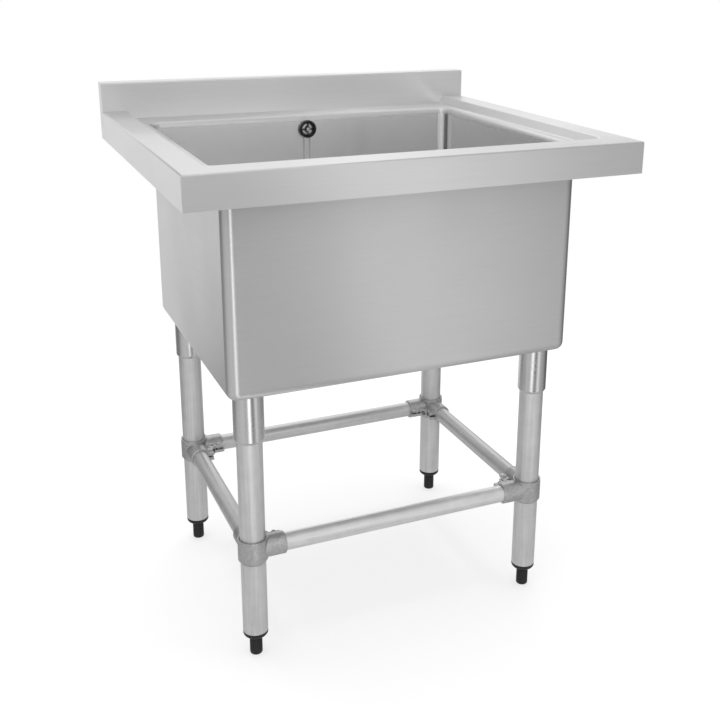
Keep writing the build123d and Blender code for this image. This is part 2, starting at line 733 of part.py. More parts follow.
lip_top_z = rail_height + slot_height / 2 + lip_height
with BuildPart() as clamp_rail_screws:
    for side, end, leg_y in corners.values():
        for arm, beside in (((-side, 0), (0, -end)), ((0, -end), (-side, 0))):
            arm_distance = clamp_reach - lip_length / 2
            screw_x = side * leg_x + arm[0] * arm_distance + beside[0] * lip_screw_out
            screw_y = leg_y + arm[1] * arm_distance + beside[1] * lip_screw_out
            with BuildSketch(Plane.XY.offset(lip_top_z)):
                with Locations((screw_x, screw_y)):
                    Circle(lip_screw_radius)
            extrude(amount=-(slot_height + 2 * lip_height))
            with BuildSketch(Plane.XY.offset(lip_top_z)):
                with Locations((screw_x, screw_y)):
                    Circle(lip_screw_head_radius)
            extrude(amount=lip_screw_head)
clamp_rail_screws.part.label = "clamp_rail_screws"
export_step(clamp_rail_screws.part, "parts/clamp_rail_screws.step")

# Rails between the clamps, ending on the shoulders inside the arms
rails = {
    "front": ((0, leg_front_y), (1, 0), leg_x),
    "rear": ((0, leg_back_y), (1, 0), leg_x),
    "left": ((-leg_x, (leg_front_y + leg_back_y) / 2), (0, 1), (leg_back_y - leg_front_y) / 2),
    "right": ((leg_x, (leg_front_y + leg_back_y) / 2), (0, 1), (leg_back_y - leg_front_y) / 2),
}
for place, (middle, direction, half_span) in rails.items():
    with BuildPart() as rail:
        with BuildSketch(Plane(origin=(*middle, rail_height), z_dir=(*direction, 0))):
            Circle(rail_radius)
            Circle(rail_radius - rail_wall, mode=Mode.SUBTRACT)
        extrude(amount=half_span - clamp_shoulder, both=True)
    rail.part.label = f"rail_{place}"
    export_step(rail.part, f"parts/rail_{place}.step")

# Feet: a plastic insert in each leg end and a smooth-sided stem that screws into it
insert_bore = stem_radius + stem_clearance
insert_bottom_z = foot_gap - insert_cone_height
for corner, (side, end, leg_y) in corners.items():
    leg_axis = Axis((side * leg_x, leg_y, 0), (0, 0, 1))
    with BuildPart() as foot_insert:
        with BuildSketch(side_plane(side * leg_x, leg_y)):
            with BuildLine():
                Polyline(
                    (insert_bore, insert_bottom_z),
                    (insert_lower_radius, insert_bottom_z),
                    (leg_radius, foot_gap - insert_lip),
                    (leg_radius, foot_gap),
                    (leg_radius - leg_wall, foot_gap),
                    (leg_radius - leg_wall, foot_gap + insert_plug),
                    (insert_bore, foot_gap + insert_plug),
                    close=True,
                )
            make_face()
        revolve(axis=leg_axis)
    foot_insert.part.label = f"foot_insert_{corner}"
    export_step(foot_insert.part, f"parts/foot_insert_{corner}.step")

    with BuildPart() as foot:
        with BuildSketch(side_plane(side * leg_x, leg_y)):
            with BuildLine():
                Polyline(
                    (0, 0),
                    (stem_radius - foot_nose_width, 0),
                    (stem_radius - foot_nose_width / 4, foot_nose_height / 2),
                    (stem_radius, foot_nose_height),
                    (stem_radius, insert_bottom_z + stem_engage),
                    (0, insert_bottom_z + stem_engage),
                    close=True,
                )
            make_face()
        revolve(axis=leg_axis)
    foot.part.label = f"foot_{corner}"
    export_step(foot.part, f"parts/foot_{corner}.step")
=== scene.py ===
"""Looks of the utility sink: a finish for every piece, the studio and the camera. Metres, +Z up."""
import json
from math import cos, pi, sin

import bmesh
import bpy
from mathutils import Matrix, Vector


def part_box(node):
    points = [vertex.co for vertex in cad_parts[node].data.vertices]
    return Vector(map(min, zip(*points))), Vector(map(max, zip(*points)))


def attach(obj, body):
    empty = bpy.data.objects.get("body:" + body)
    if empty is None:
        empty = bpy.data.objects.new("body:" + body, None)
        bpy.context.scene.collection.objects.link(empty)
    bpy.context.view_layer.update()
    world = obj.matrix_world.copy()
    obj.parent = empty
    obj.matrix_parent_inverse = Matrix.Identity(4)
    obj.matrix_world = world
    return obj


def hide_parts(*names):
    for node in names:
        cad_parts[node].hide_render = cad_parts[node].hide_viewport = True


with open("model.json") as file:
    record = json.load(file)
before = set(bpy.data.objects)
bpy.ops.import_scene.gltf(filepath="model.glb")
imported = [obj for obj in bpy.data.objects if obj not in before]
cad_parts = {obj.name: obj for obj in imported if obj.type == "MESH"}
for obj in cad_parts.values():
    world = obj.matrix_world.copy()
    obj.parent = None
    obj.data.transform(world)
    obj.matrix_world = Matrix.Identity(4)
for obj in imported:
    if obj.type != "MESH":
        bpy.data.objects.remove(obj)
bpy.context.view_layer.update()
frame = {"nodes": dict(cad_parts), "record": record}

# Camera, placed so that the frame falls in the photograph where the object does
CAMERA_PLACE = Vector((-0.7040, -1.7651, 1.1865))
CAMERA_RIGHT = Vector((0.91273, -0.40845, 0.00933))
CAMERA_UP = Vector((0.11015, 0.26801, 0.95710))
CAMERA_LENS = 51.705
CAMERA_SENSOR = 36.0
CAMERA_SHIFT = (-0.0486, -0.1181)

# Turned pieces: sides round them, angle from which an edge stays crisp, and gap that is closed
TURNED_SIDES = 48
SCREW_SIDES = 36
SHARP_FROM = 0.6
WELD_GAP = 1e-6

# Plate behind the rose's spokes: radius and depth of its rings, from the hub to the rim
PLATE_PROFILE = ((0.0055, 0.0056), (0.0065, 0.0048), (0.0085, 0.0046), (0.0105, 0.0050), (0.0120, 0.0058))
PLATE_SHEET = 0.0004

# Insert at a leg's end: bore with a flat land round it, rounded shoulder, ledge under the tube.
# The shoulder's curve gives shares of the radius and of the shoulder's height.
STEM_BORE = 0.01136
BORE_LAND = 0.0012
TUBE_WALL = 0.0016
INSERT_LEDGE = 0.012
INSERT_SHOULDER = 0.0075
SHOULDER_CURVE = ((0.62, 0.10), (0.74, 0.22), (0.85, 0.40), (0.93, 0.62), (0.98, 0.84), (1.0, 1.0))

# Stem: a small nose, then a round thread. One turn gives shares of the pitch and of the depth.
NOSE = 0.003
NOSE_STEPS = 6
THREAD_START = 0.009
THREAD_PITCH = 0.0025
THREAD_DEPTH = 0.0006
THREAD_TURN = ((0.35, 1), (0.5, 1), (0.85, 0), (1, 0))

# Clamp screws, where the model has them, and the measures of their socket heads
RAIL_HEIGHT = 0.210
LEG_RADIUS = 0.02225
LIP_SCREW_ALONG = 0.045
LIP_SCREW_OUT = 0.02385
LIP_SCREW_SHANK = 0.0025
LIP_SCREW_HEAD = 0.003
LIP_SOCKET = {
    "head": 0.004, "chamfer": 0.0005, "opening": 0.0021, "key": 0.0019, "lead": 0.0003, "depth": 0.0022,
}
LEG_SCREW = 0.01675
LEG_SOCKET = {
    "head": 0.005, "chamfer": 0.0006, "opening": 0.0029, "key": 0.0026, "lead": 0.0004, "depth": 0.005,
}

# Brushed metal throws its highlights across the grain: how far, and the turn that does it
SHEET_STRETCH = 0.85
CUP_STRETCH = 0.75
QUARTER_TURN = 0.25

# Bump of a brushed grain: strength and depth
GRAIN_BUMP = 0.06
GRAIN_DEPTH = 0.0001

# Where noise does its work: one noise, the sum of two, and the weighted sums of sheet and casting
ONE_NOISE = (0.3, 0.7)
TWO_NOISES = (0.6, 1.4)
SHEET_NOISES = (0.38, 0.62)
CAST_NOISES = (0.75, 1.25)
NOISE_ROUGHNESS = 0.55

# Stretch of a grain's noise: small along the grain
GRAIN_ALONG = 0.03
GRAIN_X = (GRAIN_ALONG, 1.0, 1.0)
GRAIN_Y = (1.0, GRAIN_ALONG, 1.0)
GRAIN_Z = (1.0, 1.0, GRAIN_ALONG)
GRAIN_ROUND = (GRAIN_ALONG, GRAIN_ALONG, 1.0)

# Inside the bowl: how far the steel's colour is lightened as painted light, its even roughness, the depth
# of the lip that stays as the outside is, and the margin of the test for a face that looks inwards
INSIDE_PAINTED_LIGHT = 0.55
LINING_GLOSS = 0.24
LIP_DEPTH = 0.007
INSIDE_MARGIN = 0.02

# Painted highlight and painted shade in its rounded corners: where the bend begins, the change from the
# highlight band to the shade band, the shade band's strength and grey, and the highlight band's roughness
CORNER_FROM = (0.05, 0.2)
CORNER_BLEND = 0.2
CORNER_SHADE_AMOUNT = 0.7
CORNER_SHADE = 0.1
CORNER_GLOSS = 0.6

# Two darker streaks down the rear wall under the rose: each fades from its core to its edge, and its
# darkening goes towards a share of the steel's grey
TRACK_OFFSETS = (-0.0075, 0.005)
TRACK_EDGE = 0.0022
TRACK_CORE = TRACK_EDGE / 3
TRACK_START = 0.002
TRACK_LENGTH = 0.09
TRACK_STRENGTH = 0.5
TRACK_GREY = 1 / 3
WALL_MARGIN = 0.001

# Casting: width of its worn edges, how the facing falls there, and how far they shine
EDGE_WIDTH = 0.0012
EDGE_FACING = (0.985, 0.9)
EDGE_LIFT = 0.2
EDGE_SHINE = 0.12

# Plastic: shine, depth of its spark texture where it is matt and where it is smooth, and how far
# its haze darkens and lightens it
PLASTIC_SHINE = 0.35
MATT_SPARK = 0.00015
SMOOTH_SPARK = 0.00005
HAZE_DARK = 0.8
HAZE_LIGHT = 1.25

# Floor: where the camera sees its shadow fade to white, and where metal sees its plain middle end
FLOOR_REACH = 40.0
FLOOR_SIDES = 96
SHADOW_REACH = (0.75, 2.2)
NEAR_REACH = (0.45, 1.3)
NEAR_TONE = 0.58

# Its greys: as it lights the object, and the shaded and the glowing part of what the camera sees
FLOOR_LIT = 0.75
FLOOR_SHADE = 0.40
FLOOR_GLOW = 0.66

# The studio as metal sees it: white backdrop behind, dark sides, a strip beside the camera and a
# softbox at the front right, under a bright ceiling. Angles in degrees from the front, positive
# to the right; tones on the floor, low down and high up.
FLOOR_TONES = (
    (-180, 0.95), (-156, 0.90), (-145, 0.25), (-115, 0.25), (-85, 0.60), (-55, 0.70), (-32, 0.55),
    (-27, 0.60), (-22, 2.2), (-13, 2.2), (-8, 0.40), (-3, 0.18), (4, 0.12), (10, 0.32), (20, 1.0),
    (28, 1.05), (38, 0.55), (55, 0.45), (72, 0.30), (80, 0.15), (130, 0.15), (144, 1.0), (180, 1.0),
)
LOW_TONES = (
    (-180, 0.95), (-160, 0.60), (-145, 0.20), (-115, 0.20), (-85, 0.60), (-55, 0.70), (-32, 0.55),
    (-27, 0.60), (-22, 2.3), (-13, 2.3), (-8, 0.40), (0, 0.40), (9, 0.60), (16, 1.5), (20, 1.4),
    (29, 0.35), (38, 0.42), (55, 0.40), (72, 0.30), (80, 0.12), (130, 0.12), (144, 1.0), (180, 1.0),
)
HIGH_TONES = (
    (-180, 1.25), (-160, 0.7), (-90, 0.6), (-30, 0.9), (-21, 1.8), (-13, 1.8), (-5, 0.6), (6, 0.7),
    (15, 1.3), (27, 0.55), (80, 0.6), (120, 0.6), (148, 1.35), (162, 1.1), (172, 1.25), (180, 1.25),
)
TONE_PEAK = 2.5
HIGH_FROM = (0.15, 0.65)
PLAIN_LIGHT = 0.75

# The one lamp, which metal doesn't mirror
LAMP_PLACE = Vector((0.0, 0.2, 3.2))
LAMP_AIM = Vector((0.0, 0.0, 0.7))
LAMP_SIZE = 2.4
LAMP_WATTS = 60.0

# Sockets of a Mix node that mixes colours
MIX_FIRST, MIX_SECOND, MIX_RESULT = 6, 7, 2


def grey(level):
    return (level, level, level, 1.0)


class Nodes:
    """Short ways to make and join the nodes of one tree."""

    def __init__(self, owner):
        owner.use_nodes = True
        self.tree = owner.node_tree

    def set(self, node, inputs):
        """Give inputs of a node a value or a link."""
        for key, value in inputs.items():
            socket = node.inputs[key]
            if isinstance(value, bpy.types.NodeSocket):
                self.tree.links.new(value, socket)
            else:
                socket.default_value = value
        return node

    def node(self, kind, inputs=None, **settings):
        made = self.tree.nodes.new(kind)
        for name, value in settings.items():
            setattr(made, name, value)
        return self.set(made, inputs or {})

    def split(self, vector):
        """The X, Y and Z sockets of a vector, by name."""
        return self.node("ShaderNodeSeparateXYZ", {0: vector}).outputs

    def math(self, operation, a, b=0.0):
        return self.node("ShaderNodeMath", {0: a, 1: b}, operation=operation).outputs[0]

    def times(self, a, b):
        return self.math("MULTIPLY", a, b)

    def weigh(self, a, share_a, b, share_b):
        """Add two values, each times its share."""
        return self.math("ADD", self.times(a, share_a), self.times(b, share_b))

    def dot(self, a, b):
        return self.node("ShaderNodeVectorMath", {0: a, 1: b}, operation="DOT_PRODUCT").outputs["Value"]

    def span(self, value, low, high, to_low=0.0, to_high=1.0, smooth=False):
        """Map a value from one range to another, clamped."""
        return self.node(
            "ShaderNodeMapRange",
            {"Value": value, "From Min": low, "From Max": high, "To Min": to_low, "To Max": to_high},
            interpolation_type="SMOOTHSTEP" if smooth else "LINEAR",
        ).outputs["Result"]

    def mix(self, factor, first, second):
        """Go from one number to another as the factor goes from 0 to 1."""
        return self.node("ShaderNodeMix", {"Factor": factor, "A": first, "B": second}).outputs["Result"]

    def mix_shader(self, factor, first, second):
        return self.node("ShaderNodeMixShader", {0: factor, 1: first, 2: second}).outputs[0]


class Finish(Nodes):
    """A material with one Principled shader, and the textures that feed it."""

    def __init__(self, name, level, roughness, metallic=0.0, constants=None):
        self.material = bpy.data.materials.new(name)
        super().__init__(self.material)
        self.shader = self.tree.nodes["Principled BSDF"]
        self.set(self.shader, {"Base Color": grey(level), "Roughness": roughness, "Metallic": metallic})
        self.set(self.shader, constants or {})
        self.place = self.node("ShaderNodeTexCoord").outputs["Object"]
        self.normal = self.node("ShaderNodeNewGeometry").outputs["Normal"]

    def noise(self, scale, detail=2.0, stretch=(1.0, 1.0, 1.0), seed=0.0):
        """Noise from 0 to 1; stretch under 1 draws it out along that axis."""
        mapping = self.node(
            "ShaderNodeMapping",
            {"Vector": self.place, "Scale": stretch, "Location": (seed, seed, seed)},
        )
        return self.node(
            "ShaderNodeTexNoise",
            {"Vector": mapping.outputs[0], "Scale": scale, "Detail": detail, "Roughness": NOISE_ROUGHNESS},
        ).outputs["Fac"]

    def blend(self, factor, first, second):
        """Mix two tones, each of them a colour socket or a grey level."""
        tones = [grey(tone) if isinstance(tone, float) else tone for tone in (first, second)]
        inputs = {"Factor": factor, MIX_FIRST: tones[0], MIX_SECOND: tones[1]}
        return self.node("ShaderNodeMix", inputs, data_type="RGBA").outputs[MIX_RESULT]

    def shade(self, value, between, level, less, more):
        """Grey that goes from less than a level to more as a value crosses a range."""
        return self.blend(self.span(value, *between), level - less, level + more)

    def vary(self, value, between, middle, less, more):
        """Number that goes from less than a middle to more as a value crosses a range."""
        return self.span(value, *between, middle - less, middle + more)

    def bump(self, height, strength, depth, normal=None):
        made = self.node("ShaderNodeBump", {"Height": height, "Strength": strength, "Distance": depth})
        if normal is not None:
            self.set(made, {"Normal": normal})
        return made.outputs["Normal"]

    def dress(self, body, gloss, normal, turned=False):
        """Feed the shader; turned metal stretches its highlights about its upright axis."""
        self.set(self.shader, {"Base Color": body, "Roughness": gloss, "Normal": normal})
        if turned:
            axis = self.node("ShaderNodeTangent", direction_type="RADIAL", axis="Z")
            self.set(self.shader, {"Tangent": axis.outputs[0]})
        return self.material


class SheetFinish(Finish):
    """Brushed sheet: fine streaks along the grain and soft clouds of tone."""

    def __init__(self, name, level, roughness, grain, metallic):
        stretch = {"Anisotropic": SHEET_STRETCH, "Anisotropic Rotation": QUARTER_TURN}
        super().__init__(name, level, roughness, metallic, stretch)
        self.fine = self.noise(scale=620.0, detail=3.0, stretch=grain)
        broad = self.noise(scale=130.0, stretch=grain, seed=3.1)
        cloud = self.noise(scale=6.0, detail=4.0, seed=7.7)
        speck = self.noise(scale=900.0, detail=1.0, seed=2.9)
        streaks = self.weigh(self.fine, 0.4, broad, 0.15)
        mottle = self.weigh(speck, 0.25, cloud, 0.2)
        tone = self.math("ADD", streaks, mottle)
        self.body = self.shade(tone, SHEET_NOISES, level, less=0.022, more=0.022)
        patches = self.math("ADD", self.fine, cloud)
        self.gloss = self.vary(patches, TWO_NOISES, roughness, less=0.05, more=0.06)


def sheet_steel(name, level, roughness, grain):
    """Brushed sheet with a bumped grain."""
    f = SheetFinish(name, level, roughness, grain, metallic=0.95)
    return f.dress(f.body, f.gloss, f.bump(f.fine, GRAIN_BUMP, GRAIN_DEPTH), turned=True)


def bowl_steel(name, level, roughness, grain):
    """Sheet that is polished smoother inside the bowl, where its colour is also lightened as painted
    light, with painted highlight and shade bands in its corners and darker streaks under the rose.
    """
    f = SheetFinish(name, level, roughness, grain, metallic=0.88)
    place = f.split(f.place)
    outward = f.node("ShaderNodeVectorMath", {0: f.place, 1: BOWL_MIDDLE}, operation="SUBTRACT").outputs[0]
    below_lip = f.span(place["Z"], bowl_high.z - LIP_DEPTH, bowl_high.z - 2 * LIP_DEPTH)
    inside = f.times(f.span(f.dot(f.normal, outward), INSIDE_MARGIN, -INSIDE_MARGIN), below_lip)
    bright, painted_shade = painted_corner_light(f, inside)
    # Painted light: the inside of the bowl is lightened towards white
    body = f.blend(f.times(inside, INSIDE_PAINTED_LIGHT), f.body, 1.0)
    # Painted highlight and painted shade bands in the rounded inside corners
    body = f.blend(bright, body, 1.0)
    body = f.blend(f.times(painted_shade, CORNER_SHADE_AMOUNT), body, CORNER_SHADE)
    # Darker streaks down the rear wall under the rose
    for track in rose_streaks(f, place):
        body = f.blend(f.times(track, TRACK_STRENGTH), body, level * TRACK_GREY)
    polish = f.span(bright, 0.0, 1.0, LINING_GLOSS, CORNER_GLOSS)
    outside = f.math("SUBTRACT", 1.0, inside)
    gloss = f.math("ADD", f.times(f.gloss, outside), f.times(inside, polish))
    grain_bump = f.span(inside, 0.0, 1.0, GRAIN_BUMP, 0.0)
    return f.dress(body, gloss, f.bump(f.fine, grain_bump, GRAIN_DEPTH), turned=True)


def painted_corner_light(f, inside):
    """Where each rounded corner gets a painted highlight, next to an end wall, and painted shade, next to
    a side wall.
    """
    bend = f.split(f.normal)
    sideways = f.math("ABSOLUTE", bend["X"])
    endways = f.math("ABSOLUTE", bend["Y"])
    rounded = f.times(f.span(f.times(sideways, endways), *CORNER_FROM), inside)
    turned = f.math("SUBTRACT", endways, sideways)
    bright = f.times(rounded, f.span(turned, 0.0, CORNER_BLEND))
    painted_shade = f.times(rounded, f.span(turned, 0.0, -CORNER_BLEND))
    return bright, painted_shade


def rose_streaks(f, place):
    """Where each track runs down the rear wall from the rose."""
    under_rose = f.span(place["Z"], rose_low.z, rose_low.z - TRACK_START)
    above_end = f.span(place["Z"], rose_low.z - TRACK_LENGTH, rose_low.z - TRACK_START)
    at_wall = f.span(place["Y"], rose_low.y - WALL_MARGIN, rose_low.y + WALL_MARGIN)
    on_wall = f.times(f.times(under_rose, above_end), at_wall)
    tracks = []
    for offset in TRACK_OFFSETS:
        away = f.math("ABSOLUTE", f.math("SUBTRACT", place["X"], offset))
        tracks.append(f.times(f.span(away, TRACK_EDGE, TRACK_CORE), on_wall))
    return tracks


def drawn_tube(name, level, roughness, grain):
    """Satin tube: soft streaks along its axis, a fine grain and faint handling marks."""
    f = Finish(name, level, roughness, metallic=0.86)
    streak = f.noise(scale=230.0, detail=3.0, stretch=grain)
    mottle = f.noise(scale=45.0, detail=4.0, seed=2.3)
    fine = f.noise(scale=900.0)
    body = f.shade(f.weigh(streak, 0.6, mottle, 0.4), ONE_NOISE, level, less=0.10, more=0.08)
    gloss = f.vary(mottle, ONE_NOISE, roughness, less=0.05, more=0.08)
    return f.dress(body, gloss, f.bump(fine, strength=0.15, depth=0.0002))


def polished_cup(name, level, roughness):
    """Polished cup: clean metal with hair-thin turning lines round it."""
    stretch = {"Anisotropic": CUP_STRETCH, "Anisotropic Rotation": QUARTER_TURN}
    f = Finish(name, level, roughness, metallic=1.0, constants=stretch)
    rings = f.noise(scale=700.0, stretch=(0.02, 0.02, 1.0))
    smudge = f.noise(scale=40.0, detail=3.0, seed=5.2)
    body = f.blend(smudge, level - 0.03, level + 0.03)
    gloss = f.vary(f.math("ADD", rings, smudge), TWO_NOISES, roughness, less=0.03, more=0.05)
    return f.dress(body, gloss, f.bump(rings, strength=0.08, depth=0.0001), turned=True)


def cast_metal(name, level, roughness):
    """Tumbled casting: pebbled skin, soft mottle, and edges rubbed bright."""
    f = Finish(name, level, roughness, metallic=1.0)
    pebble = f.noise(scale=420.0, detail=3.0)
    mottle = f.noise(scale=150.0, detail=3.0, seed=4.4)
    rounded = f.node("ShaderNodeBevel", {"Radius": EDGE_WIDTH}, samples=4).outputs[0]
    edge = f.span(f.dot(rounded, f.normal), *EDGE_FACING)
    body = f.shade(f.math("ADD", pebble, mottle), CAST_NOISES, level, less=0.10, more=0.06)
    gloss = f.vary(mottle, ONE_NOISE, roughness, less=0.05, more=0.08)
    return f.dress(
        f.blend(edge, body, level + EDGE_LIFT),
        f.math("SUBTRACT", gloss, f.times(edge, EDGE_SHINE)),
        f.bump(pebble, strength=0.35, depth=0.0004, normal=rounded),
    )


def moulded_plastic(name, level, roughness, depth=MATT_SPARK):
    """Moulded plastic or rubber: fine spark texture and slight variation of gloss."""
    f = Finish(name, level, roughness, constants={"Specular IOR Level": PLASTIC_SHINE})
    spark = f.noise(scale=900.0)
    haze = f.noise(scale=35.0, detail=3.0, seed=1.4)
    body = f.blend(haze, level * HAZE_DARK, level * HAZE_LIGHT)
    gloss = f.vary(haze, ONE_NOISE, roughness, less=0.06, more=0.08)
    return f.dress(body, gloss, f.bump(spark, strength=0.3, depth=depth))


bowl_low, bowl_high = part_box("bowl")
rose_low, rose_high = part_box("overflow_rose")
BOWL_MIDDLE = (bowl_low + bowl_high) / 2
finishes = {
    "worktop_sheet": sheet_steel("worktop_sheet", level=0.76, roughness=0.37, grain=GRAIN_X),
    "bowl_sheet": bowl_steel("bowl_sheet", level=0.67, roughness=0.40, grain=GRAIN_ROUND),
    "polished_steel": polished_cup("polished_steel", level=0.66, roughness=0.24),
    "satin_tube": drawn_tube("satin_tube", level=0.74, roughness=0.47, grain=GRAIN_Z),
    "cast_aluminium": cast_metal("cast_aluminium", level=0.55, roughness=0.42),
    "waste_metal": sheet_steel("waste_metal", level=0.68, roughness=0.28, grain=GRAIN_ROUND),
    "bright_plated": polished_cup("bright_plated", level=0.75, roughness=0.18),
    "bright_screws": polished_cup("bright_screws", level=0.6, roughness=0.25),
    "black_plastic": moulded_plastic("black_plastic", level=0.022, roughness=0.42),
    "black_gloss_plastic": moulded_plastic(
        "black_gloss_plastic", level=0.014, roughness=0.22, depth=SMOOTH_SPARK,
    ),
    "white_plastic": moulded_plastic("white_plastic", level=0.66, roughness=0.34, depth=SMOOTH_SPARK),
    "black_rubber": moulded_plastic("black_rubber", level=0.03, roughness=0.7),
}
# Painted light: the rails are one satin tube in lit and shaded copies, the front rail lighter and the rear
# and side rails darker
rail_finishes = {
    "rail_front": drawn_tube("satin_tube_front_lit", level=0.84, roughness=0.40, grain=GRAIN_X),
    "rail_rear": drawn_tube("satin_tube_rear_shaded", level=0.70, roughness=0.40, grain=GRAIN_X),
    "rail_left": drawn_tube("satin_tube_side_shaded", level=0.66, roughness=0.42, grain=GRAIN_Y),
}
rail_finishes["rail_right"] = rail_finishes["rail_left"]

slots = {part["node"]: part["material_slot"] for part in frame["record"]["subparts"]}
for node, obj in frame["nodes"].items():
    finish = rail_finishes.get(node) or finishes[slots[node]]
    for material_slot in obj.material_slots:
        material_slot.material = finish


def turned_rings(form, profile, place, direction, sides, ends):
    """Add a turned shape to a mesh.

    Each profile entry is a radius and a height along the axis; one marked "hex" is half the
    width of a hexagon instead of a radius. Ends closes the first and last ring.
    """
    turn = Vector(direction).to_track_quat("Z", "Y").to_matrix().to_4x4()
    spot = Matrix.Translation(place) @ turn
    rings = []
    for radius, height, *shape in profile:
        ring = []
        for step in range(sides):
            angle = 2 * pi * step / sides
            off_flat = angle % (pi / 3) - pi / 6
            reach = radius / cos(off_flat) if shape else radius
            ring.append(form.verts.new(spot @ Vector((reach * cos(angle), reach * sin(angle), height))))
        rings.append(ring)
    for low, high in zip(rings, rings[1:]):
        for step in range(sides):
            ahead = (step + 1) % sides
            form.faces.new((low[step], low[ahead], high[ahead], high[step]))
    if ends:
        form.faces.new(rings[0])
        form.faces.new(rings[-1])


def finish_piece(form, name, slot, body, replaced=()):
    """Turn a bmesh into a piece that rides on a body, with edges over SHARP_FROM kept crisp."""
    bmesh.ops.recalc_face_normals(form, faces=form.faces)
    for face in form.faces:
        face.smooth = True
    for edge in form.edges:
        edge.smooth = len(edge.link_faces) == 2 and edge.calc_face_angle() < SHARP_FROM
    mesh = bpy.data.meshes.new(name)
    form.to_mesh(mesh)
    form.free()
    piece = bpy.data.objects.new(name, mesh)
    bpy.context.scene.collection.objects.link(piece)
    mesh.materials.append(finishes[slot])
    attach(piece, body)
    if replaced:
        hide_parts(*replaced)
    return piece


def standing(low, high):
    """Middle of the underside, radius and height of an upright turned node, from its box."""
    return ((low.x + high.x) / 2, (low.y + high.y) / 2, low.z), (high.x - low.x) / 2, high.z - low.z


def build_rose_plate():
    """Bright pressed plate behind the spokes of the overflow rose, open at its hub."""
    middle = (rose_low + rose_high) / 2
    form = bmesh.new()
    turned_rings(form, PLATE_PROFILE, (middle.x, rose_low.y, middle.z), (0, 1, 0), TURNED_SIDES, False)
    plate = finish_piece(form, "overflow_plate", "bright_plated", "frame")
    plate.data.materials[0] = polished_cup("rose_plate", level=0.9, roughness=0.45)
    thicken = plate.modifiers.new("sheet", "SOLIDIFY")
    thicken.thickness = PLATE_SHEET
    thicken.offset = -1.0


def build_insert(corner):
    """Moulded insert in the end of a leg, with a full rounded shoulder."""
    place, outer, tall = standing(*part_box("foot_insert_" + corner))
    profile = [(STEM_BORE, 0.0), (STEM_BORE + BORE_LAND, 0.0)]
    profile += [(outer * wide, INSERT_SHOULDER * up) for wide, up in SHOULDER_CURVE]
    profile += [(outer, INSERT_LEDGE), (outer - TUBE_WALL, INSERT_LEDGE), (outer - TUBE_WALL, tall),
                (STEM_BORE, tall), (STEM_BORE, 0.0)]
    form = bmesh.new()
    turned_rings(form, profile, place, (0, 0, 1), TURNED_SIDES, False)
    bmesh.ops.remove_doubles(form, verts=form.verts, dist=WELD_GAP)
    finish_piece(form, "insert_" + corner, "black_plastic", "frame", ("foot_insert_" + corner,))


def build_stem(corner):
    """Threaded foot that turns in its insert, with a small rounded nose."""
    place, radius, tall = standing(*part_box("foot_" + corner))
    profile = []
    for step in range(NOSE_STEPS + 1):
        angle = pi / 2 * step / NOSE_STEPS
        profile.append((radius - NOSE * (1 - sin(angle)), NOSE * (1 - cos(angle))))
    profile.append((radius, THREAD_START))
    ridge = THREAD_START
    while ridge < tall - 2 * THREAD_PITCH:
        for along, deep in THREAD_TURN:
            profile.append((radius - THREAD_DEPTH * deep, ridge + THREAD_PITCH * along))
        ridge += THREAD_PITCH
    profile.append((radius, tall))
    form = bmesh.new()
    turned_rings(form, profile, place, (0, 0, 1), TURNED_SIDES, True)
    finish_piece(form, "stem_" + corner, "black_plastic", "foot_" + corner + "_body", ("foot_" + corner,))


def socket_head(top, head, chamfer, opening, key, lead, depth):
    """Profile of a screw's chamfered top and the hexagon socket in it."""
    return [(head, top - chamfer), (head - chamfer, top), (opening, top),
            (key, top - lead, "hex"), (key, top - depth, "hex")]


def build_screws():
    """Hexagon socket screws of the clamps: two beside each clamp's rails, one towards its leg."""
    rail_screws = bmesh.new()
    leg_screws = bmesh.new()
    low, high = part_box("clamp_rail_screws")
    tall = high.z - low.z
    under_head = tall - LIP_SCREW_HEAD
    lip_profile = [(LIP_SCREW_SHANK, 0.0), (LIP_SCREW_SHANK, under_head), (LIP_SOCKET["head"], under_head)]
    lip_profile += socket_head(tall, **LIP_SOCKET)
    leg_profile = [(LEG_SOCKET["head"], 0.0)] + socket_head(LEG_SCREW, **LEG_SOCKET)
    for corner, (leg_x, leg_y) in legs.items():
        side = 1 if leg_x > 0 else -1
        end = 1 if corner.startswith("rear") else -1
        for arm, beside in (((-side, 0), (0, -end)), ((0, -end), (-side, 0))):
            spot = (leg_x + arm[0] * LIP_SCREW_ALONG + beside[0] * LIP_SCREW_OUT,
                    leg_y + arm[1] * LIP_SCREW_ALONG + beside[1] * LIP_SCREW_OUT, low.z)
            turned_rings(rail_screws, lip_profile, spot, (0, 0, 1), SCREW_SIDES, True)
        inward = Vector((-side, -end, 0)).normalized()
        spot = Vector((leg_x, leg_y, RAIL_HEIGHT)) + inward * LEG_RADIUS
        turned_rings(leg_screws, leg_profile, spot, inward, SCREW_SIDES, True)
    finish_piece(rail_screws, "clamp_rail_screw_set", "bright_screws", "frame", ("clamp_rail_screws",))
    finish_piece(leg_screws, "clamp_leg_screw_set", "bright_screws", "frame", ("clamp_leg_screws",))


legs = {}
for name in frame["nodes"]:
    if name.startswith("leg_") and not name.startswith("leg_socket_"):
        place, _, _ = standing(*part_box(name))
        legs[name.removeprefix("leg_")] = place[:2]
build_rose_plate()
for corner in legs:
    build_insert(corner)
    build_stem(corner)
build_screws()


def turn_round(nodes, place):
    """Angle of a direction round the object, from 0 to 1, with the front in the middle."""
    front = nodes.times(place["Y"], -1.0)
    return nodes.span(nodes.math("ARCTAN2", place["X"], front), -pi, pi)


